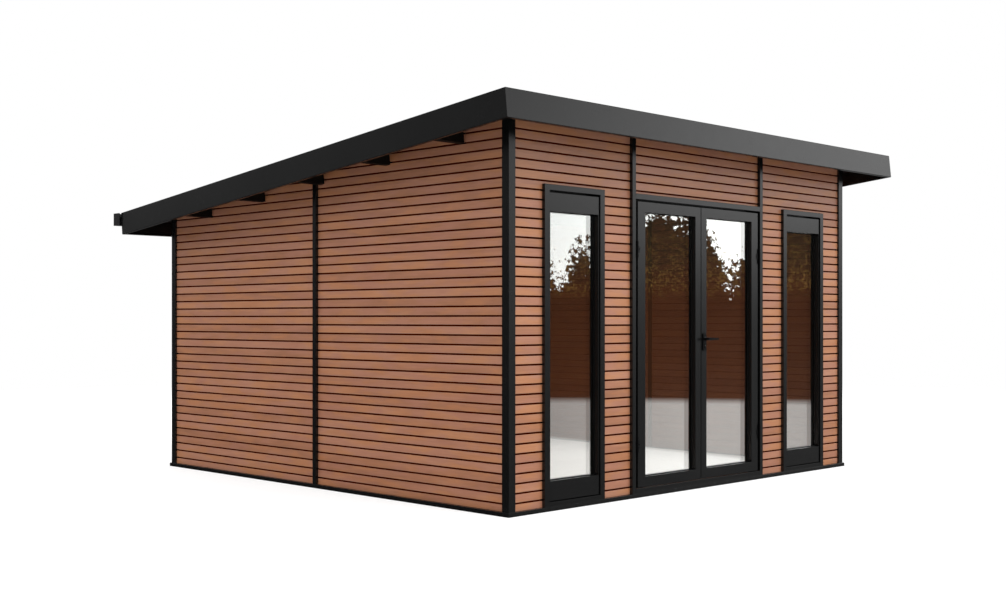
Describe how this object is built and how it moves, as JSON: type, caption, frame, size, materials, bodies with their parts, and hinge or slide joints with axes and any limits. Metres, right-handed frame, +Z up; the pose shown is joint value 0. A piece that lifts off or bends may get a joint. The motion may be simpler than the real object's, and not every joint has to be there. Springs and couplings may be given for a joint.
{
  "type": "garden office pod",
  "caption": "Square garden office pod with timber-board walls, dark joint covers, glazed double doors between tall windows, and an overhanging roof that slopes to a rear gutter.",
  "frame": {"origin": "on the ground under the middle of the floor", "axes": "+X along the front to the viewer's right when facing the doors, +Y from the front to the back, +Z up; the doors face -Y and the roof falls towards +Y"},
  "size_m": [4.65, 4.7136, 2.6296],
  "materials": {
    "timber_boards": "grooved cladding boards, brown, satin",
    "black_metal": "black powder coat, fine texture",
    "black_frame": "black powder-coated window and door profiles",
    "floor_panel": "pale floor panel",
    "clear_glass": "sealed double pane, clear",
    "roof_sheet": "coated ribbed roof sheet",
    "purlin_timber": "dark stained structural timber",
    "gutter_metal": "black coated gutter",
    "handle_metal": "black satin handle",
    "hinge_metal": "black hinge"
  },
  "bodies": {
    "pod": {"base_frame": "black_metal", "floor": "floor_panel", "corner_post_front_left": "black_metal", "corner_post_front_right": "black_metal", "corner_post_back_left": "black_metal", "corner_post_back_right": "black_metal", "left_wall_front": "timber_boards", "left_wall_back": "timber_boards", "right_wall_front": "timber_boards", "right_wall_back": "timber_boards", "back_wall_left": "timber_boards", "back_wall_right": "timber_boards", "front_wall_left": "timber_boards", "front_wall_right": "timber_boards", "front_wall_over_door": "timber_boards", "joint_post_left_wall": "black_metal", "joint_post_right_wall": "black_metal", "joint_post_back_wall": "black_metal", "door_post_left": "black_metal", "door_post_right": "black_metal", "window_frame_left": "black_frame", "window_frame_right": "black_frame", "window_sash_left": "black_frame", "window_sash_right": "black_frame", "window_glass_left": "clear_glass", "window_glass_right": "clear_glass", "door_frame": "black_frame", "door_hinge_frame_halves": "hinge_metal", "roof_purlins": "purlin_timber", "roof_eaves_beams": "purlin_timber", "roof_panels": "roof_sheet", "fascia_front": "black_metal", "fascia_left": "black_metal", "fascia_right": "black_metal", "fascia_back": "black_metal", "gutter": "gutter_metal", "gutter_brackets": "gutter_metal"},
    "left_door": {"door_leaf_left": "black_frame", "door_glass_left": "clear_glass", "door_hinge_leaf_halves_left": "hinge_metal"},
    "right_door": {"door_leaf_right": "black_frame", "door_glass_right": "clear_glass", "door_hinge_leaf_halves_right": "hinge_metal", "door_handle_plates": "handle_metal"},
    "lever": {"door_levers": "handle_metal"}
  },
  "joints": [
    {"name": "left_door_hinge", "type": "hinge", "parent": "pod", "child": "left_door", "pos_m": [-0.7485, -2.02, 1.1], "axis": [0, 0, -1], "range_deg": [0, 110]},
    {"name": "right_door_hinge", "type": "hinge", "parent": "pod", "child": "right_door", "pos_m": [0.7485, -2.02, 1.1], "axis": [0, 0, 1], "range_deg": [0, 110]},
    {"name": "door_lever_turn", "type": "hinge", "parent": "right_door", "child": "lever", "pos_m": [0.036, -2.06, 1.097], "axis": [0, 1, 0], "range_deg": [0, 40], "stiffness_Nm_per_rad": 1.5, "springref_deg": -20.05}
  ]
}
